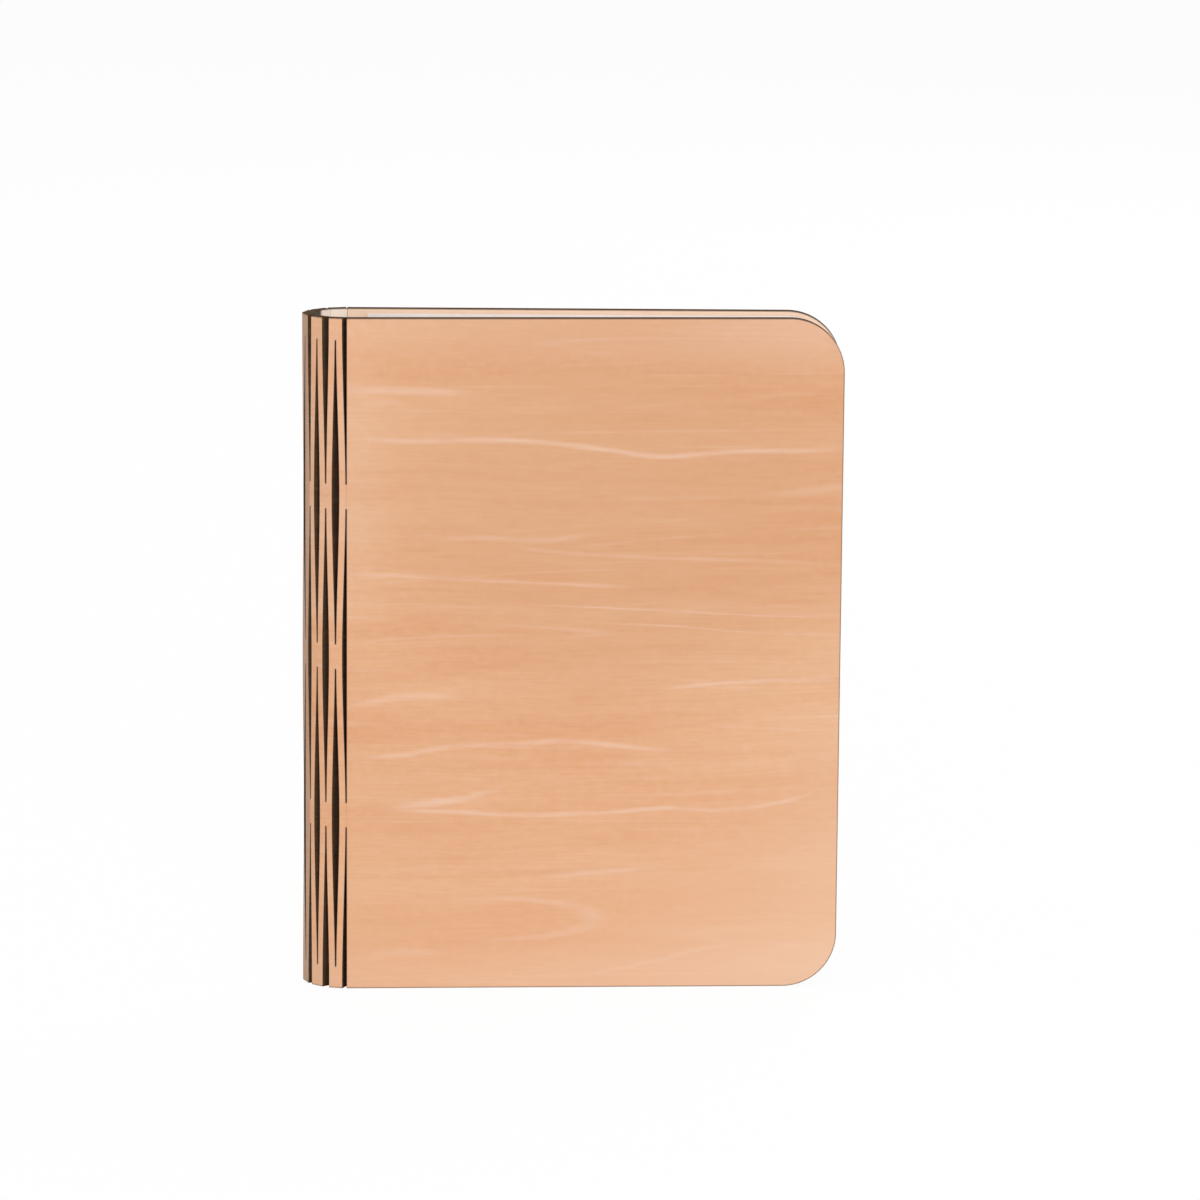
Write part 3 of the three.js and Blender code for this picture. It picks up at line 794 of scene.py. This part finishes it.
def finish_board(piece, side, column, scorched, flat, bent):
    """Materials, attributes, place and finish that the boards and the hinge share"""
    dress(piece, material_for("veneer"), material_for("burnt_wood"), material_for("inner_veneer"))
    sheet = sheet_place(side, column, flat)
    store(piece, "sheet", "FLOAT_VECTOR", sheet)
    store(piece, "scorch", "FLOAT", scorched.astype(float))
    normals = np.zeros(len(piece.data.polygons) * 3)
    piece.data.polygons.foreach_get("normal", normals)
    facing = normals.reshape(-1, 3)[:, 1]
    outer, edge, inner = 0, 1, 2
    slots = np.where(facing > 0.5, inner, np.where(facing > -0.5, edge, outer))
    piece.data.polygons.foreach_set("material_index", slots)
    move_to(piece, bent)
    if side == "back":
        start_edit(piece)
        bpy.ops.mesh.flip_normals()
        end_edit()
    smooth(piece)


# Operators


class BOOKLAMP_OT_covers(bpy.types.Operator):
    """Models both cover boards, with their scorched rims and their magnet pockets"""

    bl_idname = "booklamp.covers"
    bl_label = "Add covers"

    def flat_board(self, name):
        size, hinge = settings().board, settings().hinge
        spare = 2 * size.scorch
        length = size.length - hinge.margin + spare
        bpy.ops.mesh.primitive_cube_add(size=1, location=(size.length - length / 2, 0, size.height / 2))
        board = bpy.context.object
        board.name = board.data.name = name
        board.scale = (length, size.thickness, size.height)
        bpy.ops.object.transform_apply(location=True, rotation=True, scale=True)
        start_edit(board)

        def is_free_corner(edge):
            x, y, z = middle(edge)
            return x > size.length - TINY and abs(y) < TINY and not TINY < z < size.height - TINY

        pick("EDGE", is_free_corner)
        bpy.ops.mesh.bevel(offset=size.corner, segments=size.corner_steps, affect="EDGES")
        pick("FACE", lambda f: abs(f.normal.y) > 0.9)
        bpy.ops.mesh.inset(thickness=size.scorch, use_boundary=True)
        # The rim has no scorched side at the seam with the hinge, which the board doesn't quite touch
        cut_across((hinge.margin + 2 * TINY, 0, 0), (1, 0, 0), clear_inner=True, use_fill=True)
        end_edit()
        return board

    def cut_pockets(self, board, side):
        """Pockets on the inner face, each round one of the magnets"""
        size = settings().board
        start, heading = column_places()[0], headings()[0]
        names = [side + "_magnet_bottom", side + "_magnet_top"]
        if side == "front":
            names.append("front_trigger_magnet")
        for name in names:
            low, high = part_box(name)
            centre = (low + high) / 2
            x, y = centre.x - start[0], -abs(centre.y) - start[1]
            along = x * math.cos(heading) + y * math.sin(heading)
            out = x * math.sin(heading) - y * math.cos(heading)
            radius = (high.z - low.z) / 2 + size.pocket_gap
            half_depth = (high.y - low.y) / 2 + size.pocket_gap
            floor, mouth = -out - half_depth, size.thickness
            bpy.ops.mesh.primitive_cylinder_add(
                vertices=size.pocket_steps,
                radius=radius,
                depth=mouth - floor,
                location=(along, (mouth + floor) / 2, centre.z),
                rotation=(math.pi / 2, 0, 0),
            )
            cutter = bpy.context.object
            select_only(board)
            cut = board.modifiers.new("pocket", "BOOLEAN")
            cut.object, cut.operation, cut.solver = cutter, "DIFFERENCE", "EXACT"
            bpy.ops.object.modifier_apply(modifier=cut.name)
            drop(cutter)

    def rim(self, flat):
        """True where a point lies on the cut outline, apart from the seam with the hinge"""
        size = settings().board
        centre_x = size.length - size.corner
        x = np.maximum(flat[:, 0] - centre_x, 0)
        z = np.abs(flat[:, 2] - size.height / 2) - (size.height / 2 - size.corner)
        free = flat[:, 0] > centre_x
        round_distance = np.hypot(x, np.maximum(z, 0)) - size.corner
        straight = np.abs(flat[:, 2] - size.height / 2) - size.height / 2
        distance = np.where(free & (z > 0), round_distance, np.maximum(straight, flat[:, 0] - size.length))
        return distance > -size.scorch / 4

    def execute(self, context):
        for side in SIDES:
            board = self.flat_board(side + "_cover_board")
            self.cut_pockets(board, side)
            flat = places_of(board)
            half = settings().hinge.pitch / 2
            bent = strip_place(0, flat[:, 0] - half, -flat[:, 1], flat[:, 2])
            if side == "back":
                bent = bent * (1, -1, 1)
            finish_board(board, side, 0, self.rim(flat), flat, bent)
            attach(board, side + "_cover")
            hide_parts(side + "_cover")
        return {"FINISHED"}


class BOOKLAMP_OT_hinge(bpy.types.Operator):
    """Models the lattice hinge, one piece for each column of slots"""

    bl_idname = "booklamp.hinge"
    bl_label = "Add lattice hinge"

    def ladder(self):
        """Heights at which the sheet is divided"""
        hinge, board = settings().hinge, settings().board
        fixed = {0.0, board.scorch, board.height - board.scorch, board.height}
        for column in (0, 1):
            for ends in slot_rows(column):
                for end in ends:
                    if 0 < end < board.height:
                        fixed |= {end - hinge.scorch, end, end + hinge.scorch}
        fixed = sorted(fixed)
        heights = []
        for low, high in zip(fixed, fixed[1:]):
            count = max(1, math.ceil((high - low) / hinge.step - TINY))
            heights += [low + (high - low) * i / count for i in range(count)]
        return heights[1:]

    def flat_master(self, name, column):
        """A flat strip of board round one slot column, with its slots cut"""
        hinge, board = settings().hinge, settings().board
        master = add_upright_plane((0, board.thickness / 2, board.height / 2), hinge.pitch, board.height)
        master.name = name
        start_edit(master)
        kerf = hinge.kerf / 2
        for across in (-kerf - hinge.scorch, -kerf, 0, kerf, kerf + hinge.scorch):
            cut_across((across, 0, 0), (1, 0, 0))
        for height in self.ladder():
            cut_across((0, 0, height), (0, 0, 1))
        rows = slot_rows(column)

        def is_cut(face):
            centre = face.calc_center_median()
            return abs(centre.x) < kerf and any(low < centre.z < high for low, high in rows)

        pick("FACE", is_cut)
        bpy.ops.mesh.delete(type="FACE")
        select_all()
        bpy.ops.mesh.extrude_region_move(TRANSFORM_OT_translate={"value": (0, -board.thickness, 0)})
        select_all()
        bpy.ops.mesh.normals_make_consistent(inside=False)
        end_edit()
        return master

    def scorched(self, column, flat):
        hinge, board = settings().hinge, settings().board
        walls = (np.abs(flat[:, 0]) < hinge.kerf / 2 + TINY) & in_slot(column, flat[:, 2])
        ends = (flat[:, 2] < TINY) | (flat[:, 2] > board.height - TINY)
        return walls | ends

    def execute(self, context):
        hinge = settings().hinge
        masters = [self.flat_master("hinge_master_%d" % parity, parity) for parity in (0, 1)]
        places, turns = column_places(), headings()
        for side, sign in SIDES.items():
            numbers = range(1, STRIPS + 1) if side == "front" else range(2 * STRIPS, STRIPS, -1)
            slats = [side + "_edge"] + ["slat_%d" % number for number in numbers]
            nodes = [side + "_hinge_edge"] + ["hinge_" + slat for slat in slats[1:]]
            for column in range(STRIPS + 1):
                piece = copy_piece(masters[column % 2], "%s_hinge_column_%d" % (side, column))
                if column == STRIPS:
                    keep_half(piece, (1, 0, 0), use_fill=True)
                flat = places_of(piece)
                if column == 0:
                    flat[flat[:, 0] > hinge.pitch / 2 - TINY, 0] = hinge.margin
                    move_to(piece, flat)
                bent = bend(side, column, open_slots(side, column, flat))
                finish_board(piece, side, column, self.scorched(column, flat), flat, bent)

                inner_turn = turns[column + 1] if column < STRIPS else -math.pi / 2
                mean = (turns[column] + inner_turn) / 2
                reach = hinge.blend * np.array([math.cos(mean), math.sin(mean)])
                start, end = places[column] - reach, places[column] + reach
                if column == STRIPS:
                    start = places[column]
                start, end = (start[0], -sign * start[1], 0), (end[0], -sign * end[1], 0)
                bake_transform(piece)
                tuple(start)
                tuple(end)
                replaced = nodes[:2] if column == 0 else [nodes[min(column + 1, STRIPS)]]
                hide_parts(*replaced)
        for master in masters:
            drop(master)
        return {"FINISHED"}


class BOOKLAMP_OT_paper(bpy.types.Operator):
    """Models the pleated paper, one piece for each pleat"""

    bl_idname = "booklamp.paper"
    bl_label = "Add pleated paper"

    def outline(self, inset, radius, y):
        """Open outline of a page as a chain of edges, from the spine round the fore edge and back"""
        size, height = settings().paper, settings().board.height
        end, low, high = size.end - inset, size.inset + inset, height - size.inset - inset
        chain = add_upright_plane(((size.start + end) / 2, y, height / 2), end - size.start, high - low)
        start_edit(chain)
        pick("VERT", lambda v: v.co.x > end - TINY)
        bpy.ops.mesh.bevel(offset=radius, segments=size.corner_steps, affect="VERTICES")
        select_all()
        bpy.ops.mesh.delete(type="ONLY_FACE")
        pick("EDGE", lambda e: middle(e).x < size.start + TINY)
        bpy.ops.mesh.delete(type="EDGE")
        end_edit()
        return chain

    def flat_master(self):
        """A pleat with its outer folds at y = -1 and 1 and its inner fold at y = 0, in metres"""
        size = settings().paper
        outer = self.outline(0.0, size.corner, 1.0)
        inner = self.outline(size.depth, size.inner_corner, 0.0)
        select_only(outer, inner)
        bpy.ops.object.join()
        master = bpy.context.object
        start_edit(master)
        bpy.ops.mesh.select_mode(type="EDGE")
        select_all()
        bpy.ops.mesh.bridge_edge_loops()
        select_all()
        bpy.ops.mesh.symmetrize(direction="POSITIVE_Y")
        end_edit()
        return master

    def spread(self, along):
        size = settings().paper
        share = (along - size.start) / (size.end - size.start)
        return size.spread_start + (size.spread_end - size.spread_start) * share

    def hang(self, flat):
        """Heights of the paper, which hangs a little lower towards the fore edge"""
        size = settings().paper
        return flat[:, 2] - size.sag * (flat[:, 0] - size.start) / (size.end - size.start)

    def step_back(self, share):
        """Where a smooth step from 0 to 1 reaches a share"""
        return 0.5 - math.sin(math.asin(1 - 2 * share) / 3)

    def finish_sheet(self, piece):
        size = settings().paper
        dress(piece, material_for("paper"))
        thick = piece.modifiers.new("paper", "SOLIDIFY")
        thick.thickness, thick.offset = size.gauge, 0.0
        smooth(piece, 20)

    def execute(self, context):
        size = settings().paper
        master = self.flat_master()
        start = column_places()[0][0]
        for side, sign in SIDES.items():
            # The sheet that is glued to the endpaper
            sheet = copy_piece(master, side + "_glued_sheet")
            keep_half(sheet, (0, 1, 0))
            flat = places_of(sheet)
            bent = flat.copy()
            bent[:, 0] += start
            bent[:, 1] = sign * self.spread(flat[:, 0])
            bent[:, 2] = self.hang(flat)
            move_to(sheet, bent)
            self.finish_sheet(sheet)
            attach(sheet, side + "_cover")

            for number in range(1, size.count // 2 + 1):
                self.add_pleat(master, side, sign, number, start)
        drop(master)
        return {"FINISHED"}

    def add_pleat(self, master, side, sign, number, start):
        """One pleat, numbered from the cover inwards. The last is a half and ends in the middle"""
        size = settings().paper
        last = number == size.count // 2
        outermost = size.count - 1
        outer_share = (outermost + 2 - 2 * number) / outermost
        inner_share = max(0.0, (outermost - 2 * number) / outermost)
        ratio = inner_share / (size.outermost_share if number == 1 else outer_share)
        lift = size.gauge * size.fold_lift_share
        inner_lift = 0 if last else lift
        page = number if side == "front" else size.count + 1 - number
        piece = copy_piece(master, "pleat_%s_%d" % (side, page))
        if last:
            keep_half(piece, (0, 1, 0))
        flat = places_of(piece)
        along, fold = flat[:, 0], flat[:, 1]
        spread = self.spread(along)
        outer = outer_share * spread - lift
        inner = inner_share * spread + inner_lift

        # The blend runs square to the pleat's inner fold line, where its weight is the ratio of the two turns
        rise = inner_share * (size.spread_end - size.spread_start) / (size.end - size.start)
        square = np.array([-rise, 1.0]) / math.hypot(rise, 1.0)
        anchor = np.array([size.end, inner_share * size.spread_end + inner_lift])
        gap = (np.array([size.end, outer_share * size.spread_end - lift]) - anchor) @ square
        first = self.step_back(ratio)
        reach = gap / (1 - first)
        valley = inner + (self.step_back((ratio + 1) / 2) - first) * reach * math.hypot(rise, 1.0)
        if last:
            valley = 0.0
        y = np.where(fold > 0.5, outer, np.where(fold < -0.5, inner, valley))
        move_to(piece, np.stack([along + start, sign * y, self.hang(flat)], 1))
        self.finish_sheet(piece)
        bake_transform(piece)
        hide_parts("page_%d" % page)


class BOOKLAMP_OT_light_bar(bpy.types.Operator):
    """Finishes the light bar in the spine with rounded edges and its real materials"""

    bl_idname = "booklamp.light_bar"
    bl_label = "Add light bar"

    housing_rounding: length("Housing rounding", "Radius of the housing's edges", 0.00015)
    diffuser_rounding: length("Diffuser rounding", "Radius of the diffuser's edges", 0.0001)
    cap_rounding: length("Cap rounding", "Radius of the caps' edges", 0.0002)
    screw_rounding: length("Screw rounding", "Radius of the screws' edges", 0.00008)
    socket_rounding: length("Socket rounding", "Radius of the socket's edges", 0.00005)

    def execute(self, context):
        finishes = {"bar_housing": self.housing_rounding, "bar_diffuser": self.diffuser_rounding}
        caps = ("bar_top_cap", "bar_bottom_cap")
        finishes |= {cap: self.cap_rounding for cap in caps}
        finishes |= {"%s_screw_%d" % (cap, number): self.screw_rounding for cap in caps for number in (1, 2)}
        finishes["charging_socket"] = self.socket_rounding
        for name, radius in finishes.items():
            piece = bpy.data.objects.new(name + "_finished", frame["nodes"][name].data.copy())
            context.scene.collection.objects.link(piece)
            start_edit(piece)
            bpy.ops.mesh.remove_doubles(threshold=TINY)
            bpy.ops.mesh.dissolve_limited(angle_limit=math.radians(1))
            bpy.ops.mesh.normals_make_consistent(inside=False)
            end_edit()
            dress(piece, material_for(SLOTS[name]))
            bevel = piece.modifiers.new("edges", "BEVEL")
            bevel.width, bevel.segments = radius, 2
            bevel.limit_method, bevel.angle_limit = "ANGLE", math.radians(40)
            smooth(piece)
            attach(piece, "light_bar")
            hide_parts(name)
        return {"FINISHED"}


class BOOKLAMP_OT_inner_parts(bpy.types.Operator):
    """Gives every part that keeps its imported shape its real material"""

    bl_idname = "booklamp.inner_parts"
    bl_label = "Dress inner parts"

    def execute(self, context):
        for name, node in frame["nodes"].items():
            if not node.material_slots:
                node.data.materials.append(None)
            for place in node.material_slots:
                place.material = material_for(SLOTS[name])
        return {"FINISHED"}


# Place, target, width and power in watts of each light
LIGHTS = {
    "key_light": ((0.1, -2.0, 1.1), (0, 0, 0.1), 1.4, 17.5),
    "top_light": ((-0.1, -0.35, 1.8), (0, 0, 0.2), 1.2, 8.0),
    "rear_light": ((0.8, 1.6, 1.3), (0, 0, 0.1), 1.6, 14.0),
}


class BOOKLAMP_OT_stage(bpy.types.Operator):
    """Adds the floor, the studio light and the camera"""

    bl_idname = "booklamp.stage"
    bl_label = "Add stage"

    def floor_material(self):
        """White sweep, which the camera sees as paper white apart from the lamp's soft shadow"""
        material = start_material("white_sweep")
        tree = material.node_tree
        shader = tree.nodes["Principled BSDF"]
        wire(tree, shader, {"Base Color": "F9F9F9", "Roughness": 1.0, "Specular IOR Level": 0.0})
        glow = add(tree, "Emission", WHITE, 1.0)
        seen = add(tree, "MULTIPLY", add(tree, "LightPath", output="Is Camera Ray"), 0.95)
        mixed = add(tree, "MixShader", seen, shader.outputs[0], glow)
        wire(tree, tree.nodes["Material Output"], {"Surface": mixed})
        return material

    def add_world(self):
        world = bpy.data.worlds.new("studio")
        bpy.context.scene.world = world
        world.use_nodes = True
        tree = world.node_tree
        rays = add(tree, "LightPath").node.outputs
        direct = add(tree, "MAXIMUM", rays["Is Camera Ray"], rays["Is Glossy Ray"])
        direct = add(tree, "MAXIMUM", direct, rays["Is Transmission Ray"])
        strength = add(tree, "MapRange", direct, 0.0, 1.0, 0.5, 1.0)
        wire(tree, tree.nodes["Background"], {"Color": WHITE, "Strength": strength})

    def add_light(self, name, place, target, width, power):
        bpy.ops.object.light_add(type="AREA", location=place)
        light = bpy.context.object
        light.name = name
        light.rotation_euler = (Vector(target) - Vector(place)).to_track_quat("-Z", "Y").to_euler()
        light.data.shape = "SQUARE"
        light.data.size = width
        light.data.energy = power

    def execute(self, context):
        size = settings().stage
        bpy.ops.mesh.primitive_plane_add(size=size.floor)
        floor = context.object
        floor.name = "floor"
        dress(floor, self.floor_material())
        self.add_world()
        for name, light in LIGHTS.items():
            self.add_light(name, *light)

        ahead = Vector((math.sin(size.yaw), math.cos(size.yaw), 0))
        forward = ahead * math.cos(size.pitch) - Vector((0, 0, math.sin(size.pitch)))
        level = Vector((math.cos(size.yaw), -math.sin(size.yaw), 0))
        upright = level.cross(forward)
        right = level * math.cos(size.roll) + upright * math.sin(size.roll)
        up = upright * math.cos(size.roll) - level * math.sin(size.roll)
        turn = Matrix((right, up, -forward)).transposed()
        place = (size.camera_x, size.camera_y, size.camera_z)
        bpy.ops.object.camera_add(location=place, rotation=turn.to_euler())
        camera = context.object
        camera.data.lens = size.lens
        camera.data.sensor_width = size.sensor
        camera.data.clip_end = size.clip_end
        context.scene.camera = camera
        context.scene.view_settings.view_transform = "Standard"
        return {"FINISHED"}


class BOOKLAMP_PT_panel(bpy.types.Panel):
    """Buttons that build the lamp step by step"""

    bl_idname = "BOOKLAMP_PT_panel"
    bl_label = "Book lamp"
    bl_space_type = "VIEW_3D"
    bl_region_type = "UI"
    bl_category = "Book lamp"

    def draw(self, context):
        for operator in OPERATORS:
            self.layout.operator(operator.bl_idname)


GROUPS = (BoardSize, HingeSize, PaperSize, Tones, StageSize, BookLampSettings)
OPERATORS = (
    BOOKLAMP_OT_covers,
    BOOKLAMP_OT_hinge,
    BOOKLAMP_OT_paper,
    BOOKLAMP_OT_light_bar,
    BOOKLAMP_OT_inner_parts,
    BOOKLAMP_OT_stage,
)
CLASSES = GROUPS + OPERATORS + (BOOKLAMP_PT_panel,)


def register():
    for cls in CLASSES:
        bpy.utils.register_class(cls)
    bpy.types.Scene.book_lamp = PointerProperty(type=BookLampSettings)


def unregister():
    del bpy.types.Scene.book_lamp
    for cls in reversed(CLASSES):
        bpy.utils.unregister_class(cls)


def main():
    register()
    bpy.ops.booklamp.covers()
    bpy.ops.booklamp.hinge()
    bpy.ops.booklamp.paper()
    bpy.ops.booklamp.light_bar()
    bpy.ops.booklamp.inner_parts()
    bpy.ops.booklamp.stage()


if __name__ == "__main__":
    main()
